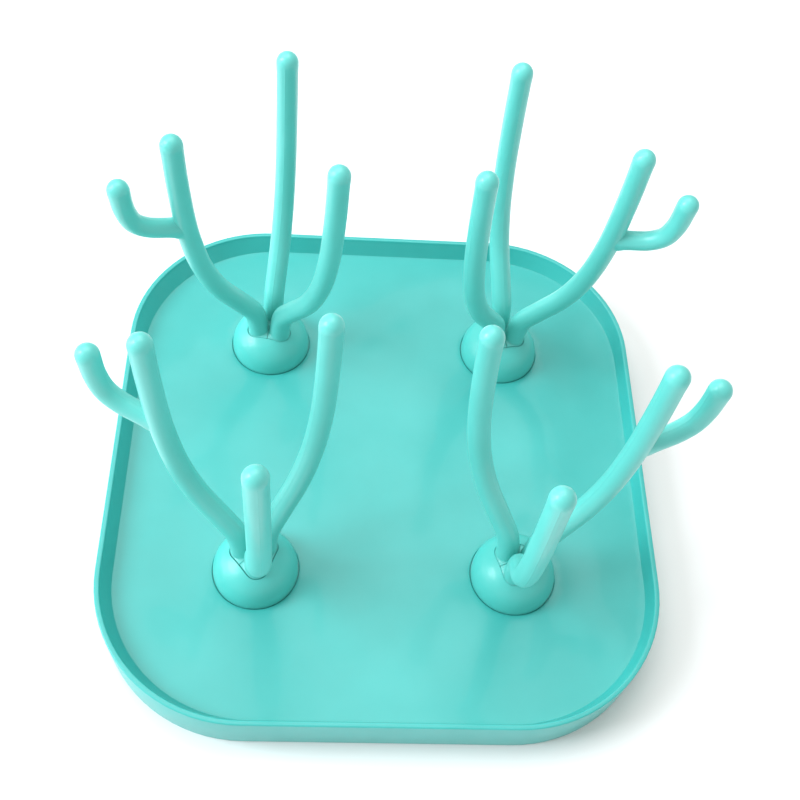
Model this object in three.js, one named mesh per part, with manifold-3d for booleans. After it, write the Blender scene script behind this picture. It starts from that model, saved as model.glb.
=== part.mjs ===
// Bottle drying rack: a drip tray that carries four lift-out trees. A tree is a domed collar that
// plugs into a round socket in the tray, and three branches that drop side by side into the collar.
// One branch of each tree has a side twig that turns up into a hook.
// Millimetres, +Z up. The origin is the middle of the tray's underside.
import * as THREE from 'three';
import { mergeVertices } from 'three/addons/utils/BufferGeometryUtils.js';
import Module from 'manifold-3d';

// Tray
const TRAY_HALF_X = 131.4;
const TRAY_HALF_Y = 138.4;
const TRAY_CORNER_RADIUS = 71;
const TRAY_HEIGHT = 25.9;
const RIM_WIDTH = 2.6;
const EDGE_ROUND = 1;
const FLOOR_TOP = 17.1;
const FLOOR_THICKNESS = 2.4;
const FLOOR_FILLET = 3.8;
const FILLET_STEPS = 2;
const FOOT_RING_WIDTH = 4;

// Sockets under the tray's floor
const RECESS_DEPTH = 1;
const SOCKET_WALL = 2.2;
const SOCKET_BOTTOM = 1.5;

// Where the trees stand: the middle of their pattern and half its pitch each way. Heading is the
// direction in degrees, from +X towards +Y, that a tree's hooked branch points in. Lean is how many
// degrees a tree's branches tip towards +X and +Y, loose in their collar
const PATTERN_X = 2.2;
const PATTERN_Y = 3.7;
const HALF_PITCH_X = 60.9;
const HALF_PITCH_Y = 65.3;
const TREES = [
  { name: 'back_left', side: -1, depth: 1, heading: 200.2, lean: [0.5, -0.3] },
  { name: 'front_left', side: -1, depth: -1, heading: 159.9, lean: [0.1, 0.9] },
  { name: 'back_right', side: 1, depth: 1, heading: -15.8, lean: [0, 0.5] },
  { name: 'front_right', side: 1, depth: -1, heading: 17.5, lean: [-0.4, -0.7] },
];

// Collar: a dome on a round plug, with a three-lobed well for the branches' feet
const COLLAR_RADIUS = 20;
const DOME_HEIGHT = 17.4;
const DOME_FULLNESS = 2.3;
const DOME_STEPS = 6;
const COLLAR_SIDES = 24;
const PLUG_RADIUS = 17;
const PLUG_BOTTOM = 2.5;
const WELL_FLOOR = 2.2;
const LOBE_RADIUS = 5.65;
const LOBE_REACH = 6.45;
const KEY_RIB_WIDTH = 4;
const KEY_RIB_DEPTH = 1.3;

// Branches: the radius of the stem and of the twig, and their centre lines as [reach, height]
// from the tree's axis and from the top of the tray's floor
const STEM_RADIUS = 5.1;
const TWIG_RADIUS = 4.7;
const STEM_LINE = [
  [6.45, 6], [6.5, 18], [8.6, 31], [15.4, 42], [25.4, 57.5],
  [32.6, 76], [37.2, 100], [39.5, 130], [40.35, 156.5],
];
const TWIG_LINE = [[37.8, 105.7], [46.8, 108.1], [54.8, 111], [60.4, 115.8], [63.4, 124.2], [64.6, 137.4]];
const STEM_STEPS = 14;
const TWIG_STEPS = 7;
const TUBE_SIDES = 10;
const LOBE_STEPS = 2;
const CORNER_STEPS = 6;
const BRANCHES = [
  { name: 'hook_branch', turn: 0, hooked: true },
  { name: 'branch_a', turn: 120, hooked: false },
  { name: 'branch_b', turn: -120, hooked: false },
];

// The gap between pieces that touch, and the wider one between the feet of a tree's branches,
// which slide straight up past each other while they lean
const GAP = 0.3;
const SEAM_GAP = 0.7;
// How far a cutting solid runs past what it cuts
const OVERRUN = 5;
// Points closer than this are one point
const MERGE_DISTANCE = 1e-4;

const TRAY_COLOUR = 0x63dcd4;
const COLLAR_COLOUR = 0x5fd8d0;
const BRANCH_COLOUR = 0x6ee6de;
const PLASTIC_ROUGHNESS = 0.22;

const SHOULDER = FLOOR_TOP - RECESS_DEPTH;
const FOOT_MIDDLE = (PLUG_BOTTOM + WELL_FLOOR + FLOOR_TOP + DOME_HEIGHT) / 2;
const wasm = await Module();
wasm.setup();

function toSolid(geometry) {
  const bare = geometry.clone();
  bare.deleteAttribute('normal');
  bare.deleteAttribute('uv');
  const merged = mergeVertices(bare, MERGE_DISTANCE);
  return new wasm.Manifold(new wasm.Mesh({
    numProp: 3,
    vertProperties: new Float32Array(merged.attributes.position.array),
    triVerts: new Uint32Array(merged.index.array),
  }));
}

function toGeometry(solid) {
  const mesh = solid.getMesh();
  const geometry = new THREE.BufferGeometry();
  geometry.setAttribute('position', new THREE.BufferAttribute(mesh.vertProperties, 3));
  geometry.setIndex(new THREE.BufferAttribute(mesh.triVerts, 1));
  geometry.computeVertexNormals();
  return geometry;
}

// A prism of the shape from one height to another; edgeRound rounds both its ends.
// three.js makes two sides of an arc for each of its curveSegments
function prism(shape, bottom, top, arcSteps, edgeRound = 0, roundSteps = 1) {
  const geometry = new THREE.ExtrudeGeometry(shape, {
    depth: top - bottom - 2 * edgeRound,
    bevelEnabled: edgeRound > 0,
    bevelThickness: edgeRound,
    bevelSize: edgeRound,
    bevelOffset: -edgeRound,
    bevelSegments: roundSteps,
    curveSegments: arcSteps,
  });
  geometry.translate(0, 0, bottom + edgeRound);
  return toSolid(geometry);
}

function cylinder(radius, bottom, top) {
  const geometry = new THREE.CylinderGeometry(radius, radius, top - bottom, COLLAR_SIDES);
  geometry.rotateX(Math.PI / 2);
  geometry.translate(0, 0, (bottom + top) / 2);
  return toSolid(geometry);
}

// The tray's outline in plan, moved inwards by inset
function trayOutline(inset) {
  const x = TRAY_HALF_X - inset;
  const y = TRAY_HALF_Y - inset;
  const r = TRAY_CORNER_RADIUS - inset;
  const shape = new THREE.Shape();
  shape.absarc(x - r, y - r, r, 0, Math.PI / 2);
  shape.absarc(-x + r, y - r, r, Math.PI / 2, Math.PI);
  shape.absarc(-x + r, -y + r, r, Math.PI, 1.5 * Math.PI);
  shape.absarc(x - r, -y + r, r, 1.5 * Math.PI, 2 * Math.PI);
  shape.closePath();
  return shape;
}

// Three lobes joined by straight sides, one lobe towards each branch
function wellOutline(clearance) {
  const shape = new THREE.Shape();
  for (let lobe = 0; lobe < 3; lobe += 1) {
    const towards = (lobe * 2 * Math.PI) / 3;
    const x = LOBE_REACH * Math.cos(towards);
    const y = LOBE_REACH * Math.sin(towards);
    shape.absarc(x, y, LOBE_RADIUS - clearance, towards - Math.PI / 3, towards + Math.PI / 3);
  }
  shape.closePath();
  return shape;
}

// The third of the well round +X, with half the seam left to the thirds beside it
function thirdOutline() {
  const apex = SEAM_GAP / 2 / Math.sin(Math.PI / 3);
  const reach = 2 * COLLAR_RADIUS;
  const shape = new THREE.Shape();
  shape.moveTo(apex, 0);
  shape.lineTo(apex + reach * Math.cos(Math.PI / 3), -reach * Math.sin(Math.PI / 3));
  shape.lineTo(apex + reach * Math.cos(Math.PI / 3), reach * Math.sin(Math.PI / 3));
  shape.closePath();
  return shape;
}

// The collar's outside, from the bottom of its plug to the top of its dome
function collarOutside() {
  const profile = [
    new THREE.Vector2(0, PLUG_BOTTOM),
    new THREE.Vector2(PLUG_RADIUS, PLUG_BOTTOM),
    new THREE.Vector2(PLUG_RADIUS, SHOULDER + GAP),
    new THREE.Vector2(COLLAR_RADIUS, SHOULDER + GAP),
  ];
  for (let step = 0; step <= DOME_STEPS; step += 1) {
    const angle = (step / DOME_STEPS) * (Math.PI / 2);
    const radius = step === DOME_STEPS ? 0 : COLLAR_RADIUS * Math.cos(angle) ** (2 / DOME_FULLNESS);
    profile.push(new THREE.Vector2(radius, FLOOR_TOP + DOME_HEIGHT * Math.sin(angle) ** (2 / DOME_FULLNESS)));
  }
  const geometry = new THREE.LatheGeometry(profile, COLLAR_SIDES);
  geometry.rotateX(Math.PI / 2);
  return toSolid(geometry);
}

// A rib down the plug, opposite the hooked branch, which keeps the tree from turning
function keyRib(clearance) {
  const width = KEY_RIB_WIDTH + 2 * clearance;
  const length = PLUG_RADIUS + KEY_RIB_DEPTH + clearance;
  const bottom = PLUG_BOTTOM - (clearance > 0 ? OVERRUN : 0);
  const geometry = new THREE.BoxGeometry(length, width, SHOULDER - bottom);
  geometry.translate(-length / 2, 0, (SHOULDER + bottom) / 2);
  return toSolid(geometry);
}

// A round bar along a centre line in the XZ plane, with a domed end
function bar(line, radius, steps) {
  const points = line.map(([reach, height]) => new THREE.Vector3(reach, 0, FLOOR_TOP + height));
  const path = new THREE.CatmullRomCurve3(points);
  const section = new THREE.Shape();
  section.absarc(0, 0, radius, 0, 2 * Math.PI);
  const tube = new THREE.ExtrudeGeometry(section, {
    steps,
    curveSegments: TUBE_SIDES / 2,
    bevelEnabled: false,
    extrudePath: path,
  });
  const tip = new THREE.SphereGeometry(radius, TUBE_SIDES, TUBE_SIDES / 2);
  tip.rotateX(Math.PI / 2);
  tip.translate(...points.at(-1).toArray());
  return toSolid(tube).add(toSolid(tip));
}

function placed(solid, x, y, degrees = 0) {
  return solid.rotate([0, 0, degrees]).translate([x, y, 0]);
}

function makeTray() {
  const outside = prism(trayOutline(0), 0, TRAY_HEIGHT, CORNER_STEPS, EDGE_ROUND);
  const cavityTop = TRAY_HEIGHT + 2 * FLOOR_FILLET;
  const cavity = prism(trayOutline(RIM_WIDTH), FLOOR_TOP, cavityTop, CORNER_STEPS, FLOOR_FILLET, FILLET_STEPS);
  const floorUnderside = FLOOR_TOP - FLOOR_THICKNESS;
  const underside = prism(trayOutline(FOOT_RING_WIDTH), -OVERRUN, floorUnderside, CORNER_STEPS);
  let tray = outside.subtract(cavity).subtract(underside);
  const socketRadius = PLUG_RADIUS + GAP;
  for (const tree of TREES) {
    const [x, y] = treePlace(tree);
    const boss = cylinder(socketRadius + SOCKET_WALL, SOCKET_BOTTOM, FLOOR_TOP - FLOOR_THICKNESS / 2);
    const bore = cylinder(socketRadius, -OVERRUN, FLOOR_TOP + OVERRUN);
    const recess = cylinder(COLLAR_RADIUS + GAP, SHOULDER, FLOOR_TOP + OVERRUN);
    tray = tray.add(placed(boss, x, y)).subtract(placed(bore, x, y)).subtract(placed(recess, x, y));
    tray = tray.subtract(placed(keyRib(GAP), x, y, tree.heading));
  }
  return toGeometry(tray);
}

function makeCollar() {
  const top = FLOOR_TOP + DOME_HEIGHT + OVERRUN;
  const well = prism(wellOutline(0), PLUG_BOTTOM + WELL_FLOOR, top, LOBE_STEPS);
  return toGeometry(collarOutside().add(keyRib(0)).subtract(well));
}

function makeBranch(hooked) {
  const top = FLOOR_TOP + DOME_HEIGHT + OVERRUN;
  const foot = prism(wellOutline(GAP), PLUG_BOTTOM + WELL_FLOOR + GAP, top, LOBE_STEPS)
    .intersect(prism(thirdOutline(), 0, top, LOBE_STEPS))
    .intersect(collarOutside());
  let branch = foot.add(bar(STEM_LINE, STEM_RADIUS, STEM_STEPS));
  if (hooked) {
    branch = branch.add(bar(TWIG_LINE, TWIG_RADIUS, TWIG_STEPS));
  }
  return toGeometry(branch);
}

function treePlace(tree) {
  return [PATTERN_X + tree.side * HALF_PITCH_X, PATTERN_Y + tree.depth * HALF_PITCH_Y];
}

function glossyPlastic(colour) {
  return new THREE.MeshStandardMaterial({ color: colour, roughness: PLASTIC_ROUGHNESS, metalness: 0 });
}

function namedMesh(name, geometry, colour) {
  const mesh = new THREE.Mesh(geometry, glossyPlastic(colour));
  mesh.name = name;
  return mesh;
}

// A group turned by a tree's lean about the middle of its branches' feet
function leaningGroup(tree) {
  const [towardsX, towardsY] = tree.lean.map(THREE.MathUtils.degToRad);
  const leaning = new THREE.Group();
  leaning.position.z = FOOT_MIDDLE;
  leaning.rotation.set(-towardsY, towardsX, 0);
  return leaning;
}

const group = new THREE.Group();
group.add(namedMesh('tray', makeTray(), TRAY_COLOUR));
const collarGeometry = makeCollar();
const branchGeometry = { true: makeBranch(true), false: makeBranch(false) };
for (const tree of TREES) {
  const standing = new THREE.Group();
  standing.position.set(...treePlace(tree), 0);
  const collar = namedMesh(`${tree.name}_collar`, collarGeometry, COLLAR_COLOUR);
  collar.rotation.z = THREE.MathUtils.degToRad(tree.heading);
  standing.add(collar);
  const leaning = leaningGroup(tree);
  standing.add(leaning);
  for (const branch of BRANCHES) {
    const mesh = namedMesh(`${tree.name}_${branch.name}`, branchGeometry[branch.hooked], BRANCH_COLOUR);
    mesh.position.z = -FOOT_MIDDLE;
    mesh.rotation.z = THREE.MathUtils.degToRad(tree.heading + branch.turn);
    leaning.add(mesh);
  }
  group.add(standing);
}

export default group;
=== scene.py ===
import math

import bmesh
import bpy
from mathutils import Matrix, Vector, noise
from mathutils.geometry import delaunay_2d_cdt


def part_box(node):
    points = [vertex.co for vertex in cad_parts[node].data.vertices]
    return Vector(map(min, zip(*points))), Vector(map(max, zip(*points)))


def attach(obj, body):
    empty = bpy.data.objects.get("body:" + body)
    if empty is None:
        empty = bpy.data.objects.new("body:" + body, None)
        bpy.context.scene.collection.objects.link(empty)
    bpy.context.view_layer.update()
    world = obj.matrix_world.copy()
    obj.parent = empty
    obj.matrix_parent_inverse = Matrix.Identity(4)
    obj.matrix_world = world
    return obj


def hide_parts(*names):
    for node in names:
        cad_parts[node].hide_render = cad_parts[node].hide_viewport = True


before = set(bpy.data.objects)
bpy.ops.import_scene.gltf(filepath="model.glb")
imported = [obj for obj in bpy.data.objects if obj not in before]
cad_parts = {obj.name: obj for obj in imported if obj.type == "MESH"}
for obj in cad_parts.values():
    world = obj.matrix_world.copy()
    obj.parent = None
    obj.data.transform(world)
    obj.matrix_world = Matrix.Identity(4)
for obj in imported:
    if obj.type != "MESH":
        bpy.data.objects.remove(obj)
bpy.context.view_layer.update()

MM = 0.001

# ---------------------------------------------------------------- the tray's sizes, in millimetres
TRAY_LOW, TRAY_HIGH = (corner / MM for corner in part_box("tray"))
TRAY_HALF_X = (TRAY_HIGH.x - TRAY_LOW.x) / 2
TRAY_HALF_Y = (TRAY_HIGH.y - TRAY_LOW.y) / 2
TRAY_TOP = TRAY_HIGH.z
TRAY_CORNER = 71.0
FLOOR = 17.1
UNDERSIDE = 14.7
UNDERSIDE_FILLET = 2.0
# The crease at the foot of the inner wall: its outline, and how far the outline is shifted in plan
CREASE_INSET = 5.6
CREASE_CORNER = 68.0
CREASE_SHIFT = Vector((1.0, -0.8))
CREASE_ROUND = 0.25
WALL_INSET = 2.6
# How far up the inner wall its loops lie, as shares of its height
WALL_LOOPS = (0.4, 0.9)
RIM_ROUND = 0.7
OUTER_DRAFT = 0.6
FOOT_RING_INSET = 4.0
FOOT_RING_OUTER_ROUND = 0.9
FOOT_RING_INNER_ROUND = 0.5
# The floor's faint waves: their height, their two lengths, the short ones' share, which slices of
# the noise they are, and how far from an edge they die out
RIPPLE = 0.6
LONG_WAVE = 42.0
SHORT_WAVE = 19.0
SHORT_WAVE_SHARE = 0.35
LONG_WAVE_SLICE = 0.4
SHORT_WAVE_SLICE = 7.3
CALM_MARGIN = 14.0
# The gap round anything that lifts out, then the seats, the keyed bores and the bosses round them
RUNNING_GAP = 0.3
SEAT_RADIUS = 20.4
SEAT_EDGE = 0.35
SEAT_FLOOR = 16.1
BORE_RADIUS = 17.3
BORE_NOTCH = 18.6
BOSS_RADIUS = 19.5
BOSS_BOTTOM = 1.5

# ---------------------------------------------------------------- the collars' sizes
COLLAR_RADIUS = 20.0
COLLAR_CHAMFER = 0.3
DOME_HEIGHT = 17.4
DOME_FULLNESS = 2.3
DOME_RINGS = 20
# Below 1, the dome's rings crowd towards its foot
DOME_RING_CROWDING = 0.8
PLUG_RADIUS = 17.0
PLUG_RIB = 18.3
PLUG_BOTTOM = 2.5
PLUG_CHAMFER = 0.6
RIB_HALF_WIDTH = 2.0
WELL_FLOOR = 4.7
WELL_LOBE = 5.65
WELL_EDGE = 0.18

# ---------------------------------------------------------------- the branches' sizes
FOOT_REACH = 6.45
FOOT_LOBE = 5.4
FOOT_BOTTOM = 5.1
FOOT_DRAFT = 0.7
FOOT_CHAMFER = 0.5
FOOT_EDGE = 0.1
FOOT_EDGE_DROP = 0.15
HALF_SEAM = 0.12
ROOT_FILLET = 1.0
LEAST_ROOT_FILLET = 0.02
STEM_FOOT_RADIUS = 5.2
STEM_TOP_RADIUS = 4.8
STEM_START = 19.5
TIP_RADIUS = 4.95
TIP_SWELLING = 7.0
TWIG_ROOT_RADIUS = 4.4
TWIG_TOP_RADIUS = 4.75
TWIG_TIP_RADIUS = 4.85
TWIG_START = 1.5
TWIG_FLARE = 1.3
TWIG_FLARE_REACH = 2.0
PARTING_RIDGE = 0.07
# Nominal lengths of the two bars, which turn millimetres along them into shares
STEM_LENGTH = 160.0
TWIG_LENGTH = 52.0
# Centre lines as (reach, height), from the tree's axis and from the top of the tray's floor
STEM_LINE = [
    (6.45, 15), (6.5, 18), (8.6, 31), (15.4, 42), (25.4, 57.5),
    (32.6, 76), (37.2, 100), (39.5, 130), (40.35, 156.5),
]
TWIG_LINE = [(37.8, 105.7), (46.8, 108.1), (54.8, 111), (60.4, 115.8), (63.4, 124.2), (64.6, 137.4)]

# The direction in degrees, from +X towards +Y, that each tree's hooked branch points in, and how
# many degrees its branches tip towards +X and +Y, loose in their collar
HEADINGS = {"back_left": 200.2, "front_left": 159.9, "back_right": -15.8, "front_right": 17.5}
LEANS = {
    "back_left": (0.5, -0.3),
    "front_left": (0.1, 0.9),
    "back_right": (0, 0.5),
    "front_right": (-0.4, -0.7),
}
# The height on a tree's axis that its branches tip about
LEAN_PIVOT = 19.6
# How far each branch is turned from the hooked one, in degrees
BRANCH_TURNS = {"hook_branch": 0.0, "branch_a": 120.0, "branch_b": -120.0}

# ---------------------------------------------------------------- how finely shapes are divided
MERGE_DISTANCE = 1e-4
RING_STEPS = 96
COLLAR_STEPS = 144
# Degrees round a bar from one row of points to the next, and millimetres across the floor
BAR_STEP = 7.5
FLOOR_MESH = 4.0
RIDGE_HALF_WIDTH = 2.0
STEM_STEPS = 110
TWIG_STEPS = 48
CURVE_STEPS = 24
ROOT_STEPS = 4
TIP_RINGS = 8
# A mesh row's distance from the next, as a share of the spacing within a row
ROW_PITCH = 0.866


# ---------------------------------------------------------------- mesh helpers
class Skin:
    """Loops of points, the faces between them, and one closed mesh of them all."""

    def __init__(self):
        self.points = []
        self.faces = []

    def loop(self, points):
        """Adds points and returns their numbers."""
        first = len(self.points)
        self.points.extend(Vector(p) for p in points)
        return list(range(first, len(self.points)))

    def bridge(self, one, other):
        """Joins two loops of the same length with four-sided faces."""
        count = len(one)
        for i in range(count):
            j = (i + 1) % count
            self.faces.append((one[i], one[j], other[j], other[i]))

    def stack(self, loops):
        """Adds the loops of points and joins each to the next; returns the first and the last."""
        made = [self.loop(points) for points in loops]
        for one, other in zip(made, made[1:]):
            self.bridge(one, other)
        return made[0], made[-1]

    def fan(self, loop, centre):
        """Closes a loop with triangles to a point."""
        middle = self.loop([centre])[0]
        count = len(loop)
        for i in range(count):
            self.faces.append((loop[i], loop[(i + 1) % count], middle))

    def patch(self, outline, holes, inside, height):
        """Fills an outline, less its holes, with small triangles whose corners stand at height(x, y)."""
        points, edges = [], []
        for ring in [outline, *holes]:
            first, count = len(points), len(ring)
            points += [Vector((p[0], p[1])) for p in ring]
            edges += [(first + i, first + (i + 1) % count) for i in range(count)]
        points += [Vector(p) for p in inside]
        flat, _, triangles, *_ = delaunay_2d_cdt(points, edges, [], 0, 1e-5)
        first = len(self.points)
        self.points.extend(Vector((p.x, p.y, height(p.x, p.y))) for p in flat)
        middles = [(flat[a] + flat[b] + flat[c]) / 3 for a, b, c in triangles]
        for triangle, middle in zip(triangles, middles):
            if within(middle, outline) and not any(within(middle, hole) for hole in holes):
                self.faces.append(tuple(first + corner for corner in triangle))

    def mesh(self, name):
        """One mesh in metres, its loops welded where they meet and its faces turned outwards."""
        made = bpy.data.meshes.new(name)
        made.from_pydata([p * MM for p in self.points], [], self.faces)
        work = bmesh.new()
        work.from_mesh(made)
        bmesh.ops.remove_doubles(work, verts=work.verts, dist=MERGE_DISTANCE * MM)
        bmesh.ops.delete(work, geom=[v for v in work.verts if not v.link_faces], context="VERTS")
        bmesh.ops.recalc_face_normals(work, faces=work.faces)
        work.to_mesh(made)
        work.free()
        return made


def within(point, ring):
    """Whether a point lies inside a ring of points, by counting crossings."""
    inside = False
    x, y = point[0], point[1]
    for (x0, y0, *_), (x1, y1, *_) in zip(ring, ring[1:] + ring[:1]):
        if (y0 > y) != (y1 > y) and x < x0 + (y - y0) * (x1 - x0) / (y1 - y0):
            inside = not inside
    return inside


def smoothed(mesh, degrees=35):
    """Smooth shading, with edges sharper than the angle kept crisp."""
    mesh.polygons.foreach_set("use_smooth", [True] * len(mesh.polygons))
    mesh.set_sharp_from_angle(angle=math.radians(degrees))
    return mesh


def piece(name, mesh, material, body, node):
    """Puts a mesh in the scene as the visible piece for a CAD node."""
    mesh.materials.clear()
    mesh.materials.append(material)
    made = bpy.data.objects.new(name, mesh)
    bpy.context.scene.collection.objects.link(made)
    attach(made, body)
    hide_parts(node)


def arc(centre, radius, start, end, steps):
    """Points of an arc in a profile's plane, angles in degrees."""
    turn = [math.radians(start + (end - start) * i / steps) for i in range(steps + 1)]
    return [(centre[0] + radius * math.cos(a), centre[1] + radius * math.sin(a)) for a in turn]


def smooth_line(points, steps):
    """A Catmull-Rom curve with centripetal spacing through points, as (place, direction, share)."""
    knots = [Vector(p) for p in points]
    knots = [2 * knots[0] - knots[1], *knots, 2 * knots[-1] - knots[-2]]
    fine = []
    for a, b, c, d in zip(knots, knots[1:], knots[2:], knots[3:]):
        t0 = 0.0
        t1 = t0 + math.sqrt((b - a).length)
        t2 = t1 + math.sqrt((c - b).length)
        t3 = t2 + math.sqrt((d - c).length)
        for i in range(CURVE_STEPS):
            t = t1 + (t2 - t1) * i / CURVE_STEPS
            ab = a + (b - a) * ((t - t0) / (t1 - t0))
            bc = b + (c - b) * ((t - t1) / (t2 - t1))
            cd = c + (d - c) * ((t - t2) / (t3 - t2))
            abc = ab + (bc - ab) * ((t - t0) / (t2 - t0))
            bcd = bc + (cd - bc) * ((t - t1) / (t3 - t1))
            fine.append(abc + (bcd - abc) * ((t - t1) / (t2 - t1)))
    fine.append(knots[-2])
    run = [0.0]
    for a, b in zip(fine, fine[1:]):
        run.append(run[-1] + (b - a).length)
    line, at = [], 0
    for i in range(steps + 1):
        wanted = run[-1] * i / steps
        while at < len(fine) - 2 and run[at + 1] < wanted:
            at += 1
        share = (wanted - run[at]) / (run[at + 1] - run[at])
        place = fine[at].lerp(fine[at + 1], share)
        before, after = fine[max(at - 1, 0)], fine[min(at + 2, len(fine) - 1)]
        line.append((place, (after - before).normalized(), i / steps))
    return line


# ---------------------------------------------------------------- materials
# Sizes of the clouds in colour and gloss, and the grain's size and depth, in millimetres
TINT_CLOUDS = 35.0
GLOSS_CLOUDS = 12.0
GRAIN_SIZE = 0.6
GRAIN_DEPTH = 0.0006


def plastic(name, colour, deep, gloss_range, ripple_size, ripple_depth, clear_skin):
    """Glossy, slightly translucent moulded plastic: faint clouds of colour and gloss, ripple and grain."""
    material = bpy.data.materials.new(name)
    material.use_nodes = True
    nodes, links = material.node_tree.nodes, material.node_tree.links
    shader = nodes["Principled BSDF"]
    shader.inputs["IOR"].default_value = 1.49
    shader.inputs["Subsurface Weight"].default_value = 0.3
    shader.inputs["Subsurface Radius"].default_value = (0.4, 1.0, 1.0)
    shader.inputs["Subsurface Scale"].default_value = 3 * MM
    shader.inputs["Coat Weight"].default_value = clear_skin
    shader.inputs["Coat Roughness"].default_value = 0.05
    place = nodes.new("ShaderNodeTexCoord")

    def clouds(size, detail):
        node = nodes.new("ShaderNodeTexNoise")
        node.inputs["Scale"].default_value = 1 / (size * MM)
        node.inputs["Detail"].default_value = detail
        links.new(place.outputs["Object"], node.inputs["Vector"])
        return node.outputs["Fac"]

    def bumps(size, depth):
        node = nodes.new("ShaderNodeBump")
        node.inputs["Strength"].default_value = 1
        node.inputs["Distance"].default_value = depth * MM
        links.new(clouds(size, 2), node.inputs["Height"])
        return node

    tint = nodes.new("ShaderNodeMix")
    tint.data_type = "RGBA"
    tint.inputs["A"].default_value = (*deep, 1)
    tint.inputs["B"].default_value = (*colour, 1)
    spread = nodes.new("ShaderNodeMapRange")
    spread.inputs["From Min"].default_value = 0.3
    spread.inputs["From Max"].default_value = 0.7
    links.new(clouds(TINT_CLOUDS, 3), spread.inputs["Value"])
    links.new(spread.outputs["Result"], tint.inputs["Factor"])
    links.new(tint.outputs["Result"], shader.inputs["Base Color"])
    gloss = nodes.new("ShaderNodeMapRange")
    gloss.inputs["To Min"].default_value, gloss.inputs["To Max"].default_value = gloss_range
    links.new(clouds(GLOSS_CLOUDS, 4), gloss.inputs["Value"])
    links.new(gloss.outputs["Result"], shader.inputs["Roughness"])
    ripple = bumps(ripple_size, ripple_depth)
    grain = bumps(GRAIN_SIZE, GRAIN_DEPTH)
    links.new(ripple.outputs["Normal"], grain.inputs["Normal"])
    links.new(grain.outputs["Normal"], shader.inputs["Normal"])
    links.new(ripple.outputs["Normal"], shader.inputs["Coat Normal"])
    return material


tray_plastic = plastic(
    "tray_plastic", colour=(0.058, 0.49, 0.46), deep=(0.048, 0.455, 0.425), gloss_range=(0.3, 0.38),
    ripple_size=16, ripple_depth=0.03, clear_skin=0.12,
)
collar_plastic = plastic(
    "collar_plastic", colour=(0.11, 0.63, 0.585), deep=(0.1, 0.6, 0.55), gloss_range=(0.3, 0.42),
    ripple_size=3, ripple_depth=0.04, clear_skin=0.1,
)
branch_plastic = plastic(
    "branch_plastic", colour=(0.15, 0.645, 0.6), deep=(0.135, 0.61, 0.56), gloss_range=(0.3, 0.4),
    ripple_size=8, ripple_depth=0.012, clear_skin=0.15,
)


# ---------------------------------------------------------------- tray
def tray_outline(inset, height, corner=None, shift=(0, 0), corner_steps=20, side_steps=14):
    """The tray's outline in plan, moved inwards by inset and then by shift, as a loop at one height."""
    x, y, r = TRAY_HALF_X - inset, TRAY_HALF_Y - inset, corner or TRAY_CORNER - inset
    corners = [(x - r, y - r), (-x + r, y - r), (-x + r, -y + r), (x - r, -y + r)]
    points = []
    for i, centre in enumerate(corners):
        curve = arc(centre, r, 90 * i, 90 * i + 90, corner_steps)
        points += curve
        ahead = corners[(i + 1) % 4]
        turn = math.radians(90 * i + 90)
        start = Vector(curve[-1])
        end = Vector((ahead[0] + r * math.cos(turn), ahead[1] + r * math.sin(turn)))
        points += [tuple(start.lerp(end, k / side_steps)) for k in range(1, side_steps)]
    return [(across + shift[0], along + shift[1], height) for across, along in points]


def circle(centre, radius, height, turn=0.0, steps=RING_STEPS):
    """A level ring of points; radius may be a function of the angle from turn, in radians."""
    radius_at = radius if callable(radius) else (lambda angle: radius)
    points = []
    for i in range(steps):
        angle = 2 * math.pi * i / steps
        r = radius_at(angle)
        x, y = r * math.cos(angle + turn), r * math.sin(angle + turn)
        points.append((centre.x + x, centre.y + y, height))
    return points


def ribbed(plain, ribbed_radius, half_width):
    """A radius that steps out to ribbed_radius over a narrow rib opposite angle 0."""
    half_angle = math.asin(half_width / plain)
    return lambda angle: ribbed_radius if abs(angle - math.pi) < half_angle else plain


def tree_axis(tree):
    """Where a tree stands in plan: the middle of its collar's box."""
    low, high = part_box(f"{tree}_collar")
    middle = (low + high) / 2 / MM
    return Vector((middle.x, middle.y))


AXES = {tree: tree_axis(tree) for tree in HEADINGS}


def floor_height(x, y):
    """The floor's height: long faint waves that die out at the wall and at the seats."""
    inset = CREASE_INSET + CREASE_ROUND
    half_x, half_y = TRAY_HALF_X - inset, TRAY_HALF_Y - inset
    across, along = abs(x - CREASE_SHIFT.x), abs(y - CREASE_SHIFT.y)
    edge = min(half_x - across, half_y - along)
    out = across - (half_x - CREASE_CORNER), along - (half_y - CREASE_CORNER)
    edge = min(edge, CREASE_CORNER - math.hypot(*out)) if min(out) > 0 else edge
    seats = min((Vector((x, y)) - axis).length for axis in AXES.values()) - SEAT_RADIUS - SEAT_EDGE
    calm = min(max(min(edge, seats) / CALM_MARGIN, 0), 1)
    calm = calm * calm * (3 - 2 * calm)
    waves = noise.noise(Vector((x / LONG_WAVE, y / LONG_WAVE, LONG_WAVE_SLICE)))
    waves += SHORT_WAVE_SHARE * noise.noise(Vector((x / SHORT_WAVE, y / SHORT_WAVE, SHORT_WAVE_SLICE)))
    return FLOOR + RIPPLE * calm * waves


def mesh_points(spacing, outline, holes):
    """A triangular grid of points inside an outline and clear of round holes, each (middle, radius)."""
    points = []
    rows = int(TRAY_HALF_Y / (spacing * ROW_PITCH)) + 1
    columns = int(TRAY_HALF_X / spacing) + 1
    for row in range(-rows, rows + 1):
        for column in range(-columns, columns + 1):
            point = Vector(((column + 0.5 * (row % 2)) * spacing, row * spacing * ROW_PITCH))
            if within(point, outline) and all((point - c).length > r + spacing / 2 for c, r in holes):
                points.append(point)
    return points


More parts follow.
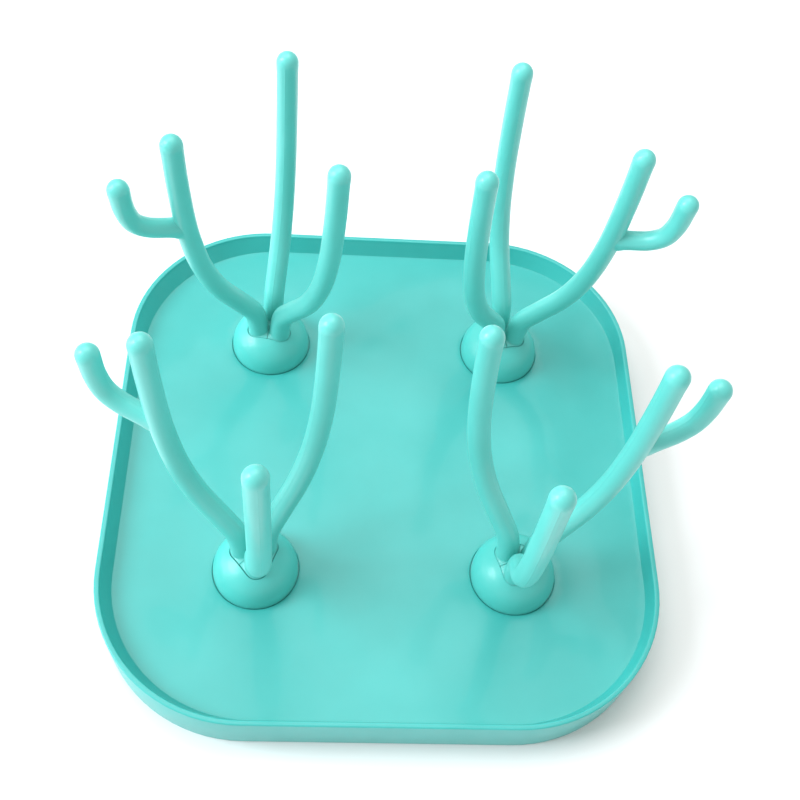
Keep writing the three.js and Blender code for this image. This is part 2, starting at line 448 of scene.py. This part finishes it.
def inner_wall(top):
    """The inner wall's loops from the floor, round the tight crease, up to just under the rim."""
    rim_corner = TRAY_CORNER - WALL_INSET
    foot = Vector((CREASE_INSET + CREASE_ROUND, FLOOR))
    crease = Vector((CREASE_INSET, FLOOR))
    wall_top = Vector((WALL_INSET, top))
    climb = crease.lerp(wall_top, CREASE_ROUND / (top - FLOOR))
    crease_steps = 4
    loops = []
    for i in range(crease_steps + 1):
        share = i / crease_steps
        inset, height = foot.lerp(crease, share).lerp(crease.lerp(climb, share), share)
        loops.append(tray_outline(inset, height, CREASE_CORNER, CREASE_SHIFT))
    for share in WALL_LOOPS:
        inset, height = climb.lerp(wall_top, share)
        corner = CREASE_CORNER + (rim_corner - CREASE_CORNER) * share
        loops.append(tray_outline(inset, height, corner, CREASE_SHIFT * (1 - share)))
    return loops


def outer_profile():
    """The tray's profile as (inset, height): over the rim, down the outside, under the foot ring and in."""
    rim_height = TRAY_TOP - RIM_ROUND
    outer, inner, fillet = FOOT_RING_OUTER_ROUND, FOOT_RING_INNER_ROUND, UNDERSIDE_FILLET
    return [
        *arc((WALL_INSET - RIM_ROUND, rim_height), RIM_ROUND, 0, 90, steps=5),
        *arc((RIM_ROUND, rim_height), RIM_ROUND, 90, 180, steps=5),
        (OUTER_DRAFT / 2, TRAY_TOP / 2),
        *arc((OUTER_DRAFT + outer, outer), outer, 180, 270, steps=4),
        *arc((FOOT_RING_INSET - inner, inner), inner, 270, 360, steps=3),
        *arc((FOOT_RING_INSET + fillet, UNDERSIDE - fillet), fillet, 180, 90, steps=4),
    ]


def seat_rings(axis, turn):
    """A tree's seat in the floor, its keyed bore and the boss round it, as rings from the floor down."""
    notched = ribbed(BORE_RADIUS, BORE_NOTCH, RIB_HALF_WIDTH + RUNNING_GAP)
    rounding = arc((SEAT_RADIUS + SEAT_EDGE, FLOOR - SEAT_EDGE), SEAT_EDGE, 90, 180, steps=4)
    steps = [
        *rounding,
        (SEAT_RADIUS, SEAT_FLOOR),
        (notched, SEAT_FLOOR),
        (notched, BOSS_BOTTOM),
        (BOSS_RADIUS, BOSS_BOTTOM),
        (BOSS_RADIUS, UNDERSIDE),
    ]
    return [circle(axis, radius, height, turn) for radius, height in steps]


def make_tray():
    """The drip tray: wall, rim, rippled floor, four seats with their bores and bosses, and underside."""
    skin = Skin()
    walls = inner_wall(TRAY_TOP - RIM_ROUND)
    profile = outer_profile()
    skin.stack(walls + [tray_outline(inset, height) for inset, height in profile])
    seat_holes, boss_holes = [], []
    for tree, heading in HEADINGS.items():
        rings = seat_rings(AXES[tree], math.radians(heading))
        skin.stack(rings)
        seat_holes.append(rings[0])
        boss_holes.append(rings[-1])
    clear = [(axis, SEAT_RADIUS + SEAT_EDGE) for axis in AXES.values()]
    room = FLOOR_MESH / 2
    flat = tray_outline(CREASE_INSET + room, 0, CREASE_CORNER - room, CREASE_SHIFT)
    skin.patch(walls[0], seat_holes, mesh_points(FLOOR_MESH, flat, clear), floor_height)
    skin.patch(tray_outline(*profile[-1]), boss_holes, [], lambda x, y: UNDERSIDE)
    return smoothed(skin.mesh("tray_shell"))


# ---------------------------------------------------------------- collars
def dome_height(radius):
    """The height of the collar's dome above the floor at a radius from its axis."""
    return DOME_HEIGHT * (1 - (radius / COLLAR_RADIUS) ** DOME_FULLNESS) ** (1 / DOME_FULLNESS)


def on_dome(x, y):
    """The height of the dome's surface over a point, from the tree's axis."""
    return FLOOR + dome_height(math.hypot(x, y))


def well_radius(angle):
    """The three-lobed well's radius: lobes round the three feet, joined by straight sides."""
    from_lobe = (angle + math.pi / 3) % (2 * math.pi / 3) - math.pi / 3
    side = (FOOT_REACH / 2 + WELL_LOBE) / math.cos(math.pi / 3 - abs(from_lobe))
    across = FOOT_REACH * math.sin(from_lobe)
    lobe = FOOT_REACH * math.cos(from_lobe) + math.sqrt(WELL_LOBE ** 2 - across ** 2)
    lobe_end = math.atan2(WELL_LOBE * math.sin(math.pi / 3), FOOT_REACH + WELL_LOBE / 2)
    return lobe if abs(from_lobe) < lobe_end else side


def dome_ring(share):
    """A ring of the dome, from the well's edge, share 0, down to the floor, share 1."""
    points = []
    for i in range(COLLAR_STEPS):
        angle = 2 * math.pi * i / COLLAR_STEPS
        opening = well_radius(angle) + WELL_EDGE
        top = math.acos((opening / COLLAR_RADIUS) ** (DOME_FULLNESS / 2))
        lift = top * (1 - share)
        radius = COLLAR_RADIUS * math.cos(lift) ** (2 / DOME_FULLNESS)
        height = FLOOR + DOME_HEIGHT * math.sin(lift) ** (2 / DOME_FULLNESS)
        points.append((radius * math.cos(angle), radius * math.sin(angle), height))
    return points


def well_ring(height=None):
    """A ring of the well's wall; with no height it follows the dome, a little below its edge."""
    points = []
    for i in range(COLLAR_STEPS):
        angle = 2 * math.pi * i / COLLAR_STEPS
        radius = well_radius(angle)
        z = FLOOR + dome_height(radius) - WELL_EDGE if height is None else height
        points.append((radius * math.cos(angle), radius * math.sin(angle), z))
    return points


def make_collar():
    """A domed collar about the origin's axis, its hooked branch's lobe towards +X."""
    shoulder = SEAT_FLOOR + RUNNING_GAP
    ribbed_plug = ribbed(PLUG_RADIUS, PLUG_RIB, RIB_HALF_WIDTH)
    below_dome = [
        (COLLAR_RADIUS, shoulder + COLLAR_CHAMFER),
        (COLLAR_RADIUS - COLLAR_CHAMFER, shoulder),
        (ribbed_plug, shoulder),
        (ribbed_plug, PLUG_BOTTOM + PLUG_CHAMFER),
        (PLUG_RADIUS - PLUG_CHAMFER, PLUG_BOTTOM),
    ]
    rings = [well_ring(WELL_FLOOR), well_ring()]
    rings += [dome_ring((i / DOME_RINGS) ** DOME_RING_CROWDING) for i in range(DOME_RINGS + 1)]
    rings += [circle(Vector((0, 0)), radius, height, steps=COLLAR_STEPS) for radius, height in below_dome]
    skin = Skin()
    first, last = skin.stack(rings)
    skin.fan(first, (0, 0, WELL_FLOOR))
    skin.fan(last, (0, 0, PLUG_BOTTOM))
    return smoothed(skin.mesh("collar_shell"))


# ---------------------------------------------------------------- branches
def bar_angles(*corners):
    """Angles round a bar, in radians: even steps, close ones at the parting ridges, and any corners."""
    half = int(180 / BAR_STEP)
    even = [BAR_STEP * i for i in range(1 - half, half) if i]
    ridges = [side + turn for side in (0, 180) for turn in (-RIDGE_HALF_WIDTH, 0, RIDGE_HALF_WIDTH)]
    wrapped = [turn - 360 if turn > 180 else turn for turn in ridges]
    return [math.radians(turn) for turn in sorted({*even, *wrapped, *corners})]


def foot_corner():
    """The foot's outer corner: where the well's straight side meets the seam between two feet."""
    reach = FOOT_REACH / 2 + FOOT_LOBE
    side = math.radians(60)
    x = reach * math.cos(side) + HALF_SEAM * math.sin(side)
    y = reach * math.sin(side) - HALF_SEAM * math.cos(side)
    return x, y


def foot_edge(angle):
    """How far the foot's outline is from the foot's axis at an angle round it, in radians."""
    turn = abs(angle)
    apex = HALF_SEAM / math.sin(math.pi / 3)
    seam_distance = (FOOT_REACH - apex) * math.sin(math.pi / 3)
    edge = FOOT_LOBE
    # Past the lobe the outline is the well's straight side, kept finite by 0.1, and then the seam
    if turn > math.pi / 3:
        edge = FOOT_LOBE / max(math.cos(turn - math.pi / 3), 0.1)
    if turn > math.pi / 2:
        edge = min(edge, seam_distance / math.cos(turn - 5 * math.pi / 6))
    return edge


def foot_ring(angles, shrink, height=None, lift=0.0):
    """A ring of the foot's wall, inside its outline by shrink; with no height it follows the dome."""
    points = []
    for angle in angles:
        reach = foot_edge(angle) - shrink
        x, y = FOOT_REACH + reach * math.cos(angle), reach * math.sin(angle)
        z = on_dome(x, y) + lift if height is None else height
        points.append((x, y, z))
    return points


def root_ring(angles, share):
    """A ring of the small fillet between the foot's top, share 0, and the stem, share 1."""
    points = []
    turn = math.radians(90 * share)
    for angle in angles:
        room = foot_edge(angle) - FOOT_EDGE - STEM_FOOT_RADIUS
        fillet = min(max(room, LEAST_ROOT_FILLET), ROOT_FILLET)
        base = STEM_FOOT_RADIUS + fillet
        x, y = FOOT_REACH + base * math.cos(angle), base * math.sin(angle)
        z = on_dome(x, y) + fillet * (1 - math.cos(turn))
        reach = base - fillet * math.sin(turn)
        points.append((FOOT_REACH + reach * math.cos(angle), reach * math.sin(angle), z))
    return points


def bar_ring(middle, across, angles, reaches):
    """A ring of points round a middle, in the plane of across and +Y, with a reach for each angle."""
    sideways = Vector((0, 1, 0))
    return [
        middle + reach * (math.cos(angle) * across + math.sin(angle) * sideways)
        for angle, reach in zip(angles, reaches)
    ]


def bar_rings(line, radius_at, angles):
    """Rings round a centre line in the XZ plane, with the fine parting ridge along both its edges."""
    ridges = [PARTING_RIDGE if abs(math.sin(angle)) < 1e-6 else 0 for angle in angles]
    rings = []
    for place, direction, share in line:
        across = Vector((direction[1], 0, -direction[0]))
        middle = Vector((place[0], 0, place[1] + FLOOR))
        reaches = [radius_at(share, angle) + ridge for angle, ridge in zip(angles, ridges)]
        rings.append(bar_ring(middle, across, angles, reaches))
    return rings


def tip_rings(line, radius, angles):
    """The rings of a bar's domed end, and its pole."""
    place, direction, _ = line[-1]
    along = Vector((direction[0], 0, direction[1]))
    across = Vector((direction[1], 0, -direction[0]))
    middle = Vector((place[0], 0, place[1] + FLOOR))
    rings = []
    for i in range(TIP_RINGS):
        lift = math.pi / 2 * i / TIP_RINGS
        centre = middle + along * radius * math.sin(lift)
        rings.append(bar_ring(centre, across, angles, [radius * math.cos(lift)] * len(angles)))
    return rings, middle + along * radius


def tapered(root, top, tip, length):
    """A bar's radius along it: an even taper, then a slight swelling into the domed tip."""
    swelling = TIP_SWELLING / length

    def radius_at(share, _angle):
        into = max(share - (1 - swelling), 0) / swelling
        plain = root + (top - root) * share
        return plain + (tip - plain) * into * into * (3 - 2 * into)

    return radius_at


def make_stem():
    """A plain branch about the origin's axis, reaching towards +X."""
    corner_x, corner_y = foot_corner()
    corner = math.degrees(math.atan2(corner_y, corner_x - FOOT_REACH))
    angles = bar_angles(corner, -corner)
    line = [step for step in smooth_line(STEM_LINE, STEM_STEPS) if step[0][1] > STEM_START]
    radius_at = tapered(STEM_FOOT_RADIUS, STEM_TOP_RADIUS, TIP_RADIUS, STEM_LENGTH)
    rings = [
        foot_ring(angles, FOOT_DRAFT + FOOT_CHAMFER, FOOT_BOTTOM),
        foot_ring(angles, FOOT_DRAFT, FOOT_BOTTOM + FOOT_CHAMFER),
        foot_ring(angles, 0, lift=-FOOT_EDGE_DROP),
        foot_ring(angles, FOOT_EDGE),
        *[root_ring(angles, i / ROOT_STEPS) for i in range(ROOT_STEPS + 1)],
        *bar_rings(line, radius_at, angles),
    ]
    domed, pole = tip_rings(line, TIP_RADIUS, angles)
    skin = Skin()
    first, last = skin.stack(rings + domed)
    skin.fan(first, (FOOT_REACH, 0, FOOT_BOTTOM))
    skin.fan(last, pole)
    return skin.mesh("branch_shell")


def make_twig():
    """The side twig of a hooked branch, flared where it leaves the stem."""
    plain = tapered(TWIG_ROOT_RADIUS, TWIG_TOP_RADIUS, TWIG_TIP_RADIUS, TWIG_LENGTH)

    def flared(share, angle):
        past_stem = max(share * TWIG_LENGTH - STEM_TOP_RADIUS, 0)
        flare = TWIG_FLARE * math.cos(angle) ** 2
        return plain(share, angle) + flare * math.exp(-past_stem / TWIG_FLARE_REACH)

    angles = bar_angles()
    line = [step for step in smooth_line(TWIG_LINE, TWIG_STEPS) if step[2] * TWIG_LENGTH > TWIG_START]
    domed, pole = tip_rings(line, TWIG_TIP_RADIUS, angles)
    skin = Skin()
    first, last = skin.stack(bar_rings(line, flared, angles) + domed)
    root, _, _ = line[0]
    skin.fan(first, Vector((root[0], 0, root[1] + FLOOR)))
    skin.fan(last, pole)
    return skin.mesh("twig_shell")


def joined(mesh, added):
    """The union of two closed meshes."""
    one = bpy.data.objects.new("joining", mesh)
    other = bpy.data.objects.new("joined_on", added)
    for each in (one, other):
        bpy.context.scene.collection.objects.link(each)
    union = one.modifiers.new("union", "BOOLEAN")
    union.operation = "UNION"
    union.solver = "EXACT"
    union.object = other
    bpy.context.view_layer.update()
    result = one.evaluated_get(bpy.context.evaluated_depsgraph_get())
    made = bpy.data.meshes.new_from_object(result)
    for each in (one, other):
        bpy.data.objects.remove(each)
    return made


def leaning(tree):
    """The turn that tips a tree's branches, about the middle of their feet."""
    towards_x, towards_y = (math.radians(a) for a in LEANS[tree])
    pivot = Vector((0, 0, LEAN_PIVOT * MM))
    tip = Matrix.Rotation(-towards_y, 4, "X") @ Matrix.Rotation(towards_x, 4, "Y")
    return Matrix.Translation(pivot) @ tip @ Matrix.Translation(-pivot)


def build_trees():
    """Four collars and twelve branches, each a piece of its own, facing and leaning as its tree does."""
    collar = make_collar()
    plain = smoothed(make_stem())
    hooked = smoothed(joined(make_stem(), make_twig()), degrees=40)
    for tree, heading in HEADINGS.items():
        stand = Matrix.Translation((*(AXES[tree] * MM), 0))
        face = Matrix.Rotation(math.radians(heading), 4, "Z")
        node = f"{tree}_collar"
        shell = collar.copy()
        shell.transform(stand @ face)
        piece(f"{node}_shell", shell, collar_plastic, f"{tree}_tree", node)
        for branch, turn in BRANCH_TURNS.items():
            node = f"{tree}_{branch}"
            shell = (hooked if branch == "hook_branch" else plain).copy()
            shell.transform(stand @ leaning(tree) @ face @ Matrix.Rotation(math.radians(turn), 4, "Z"))
            piece(f"{node}_shell", shell, branch_plastic, node, node)


# ---------------------------------------------------------------- floor, light and camera, in metres
WORKTOP_HALF = 6.0
WORKTOP_DROP = 0.0003
# What the lights point at
LIT_POINT = Vector((0, 0, 0.05))
CAMERA_PLACE = (-0.0291, -0.2836, 0.5128)
CAMERA_TURN = (32.74, -4.28, -0.36)
CAMERA_LENS = 51.0


def build_stage():
    """A plain pale worktop, a hair below the tray's foot ring."""
    half = WORKTOP_HALF
    corners = [(-half, -half, 0), (half, -half, 0), (half, half, 0), (-half, half, 0)]
    mesh = bpy.data.meshes.new("worktop")
    mesh.from_pydata(corners, [], [(0, 1, 2, 3)])
    material = bpy.data.materials.new("pale_worktop")
    material.use_nodes = True
    shader = material.node_tree.nodes["Principled BSDF"]
    shader.inputs["Base Color"].default_value = (0.97, 0.97, 0.97, 1)
    shader.inputs["Roughness"].default_value = 0.8
    mesh.materials.append(material)
    worktop = bpy.data.objects.new("worktop", mesh)
    worktop.location.z = -WORKTOP_DROP
    bpy.context.scene.collection.objects.link(worktop)


def area_light(name, place, size, power, colour):
    """A soft rectangular light, turned towards the rack."""
    light = bpy.data.lights.new(name, "AREA")
    light.shape = "RECTANGLE"
    light.size, light.size_y = size
    light.energy = power
    light.color = colour
    lamp = bpy.data.objects.new(name, light)
    lamp.location = place
    lamp.rotation_euler = (LIT_POINT - Vector(place)).to_track_quat("-Z", "Y").to_euler()
    bpy.context.scene.collection.objects.link(lamp)


def build_light():
    """Pale surroundings, cool light from the left, high and low, and a panel for the floor's sheen."""
    world = bpy.data.worlds.new("studio")
    world.use_nodes = True
    background = world.node_tree.nodes["Background"]
    background.inputs["Color"].default_value = (1, 0.985, 0.96, 1)
    background.inputs["Strength"].default_value = 0.6
    bpy.context.scene.world = world
    area_light("window", place=(-2.4, -0.15, 1.95), size=(1.4, 1.4), power=76, colour=(0.86, 0.95, 1))
    area_light("side", place=(-2.4, 0.1, 0.55), size=(1.2, 0.6), power=13, colour=(0.8, 0.93, 1))
    area_light("overhead", place=(-0.12, 0.4, 1.3), size=(1.15, 1.0), power=9.6, colour=(1, 1, 1))
    bpy.context.scene.view_settings.view_transform = "Standard"


def build_camera():
    """A camera above the front of the tray, looking down and back over it."""
    camera = bpy.data.cameras.new("camera")
    camera.sensor_width = 36
    camera.lens = CAMERA_LENS
    camera.clip_start = 0.01
    holder = bpy.data.objects.new("camera", camera)
    holder.location = CAMERA_PLACE
    holder.rotation_euler = [math.radians(a) for a in CAMERA_TURN]
    bpy.context.scene.collection.objects.link(holder)
    bpy.context.scene.camera = holder


piece("tray_shell", make_tray(), tray_plastic, "tray", "tray")
build_trees()
build_stage()
build_light()
build_camera()
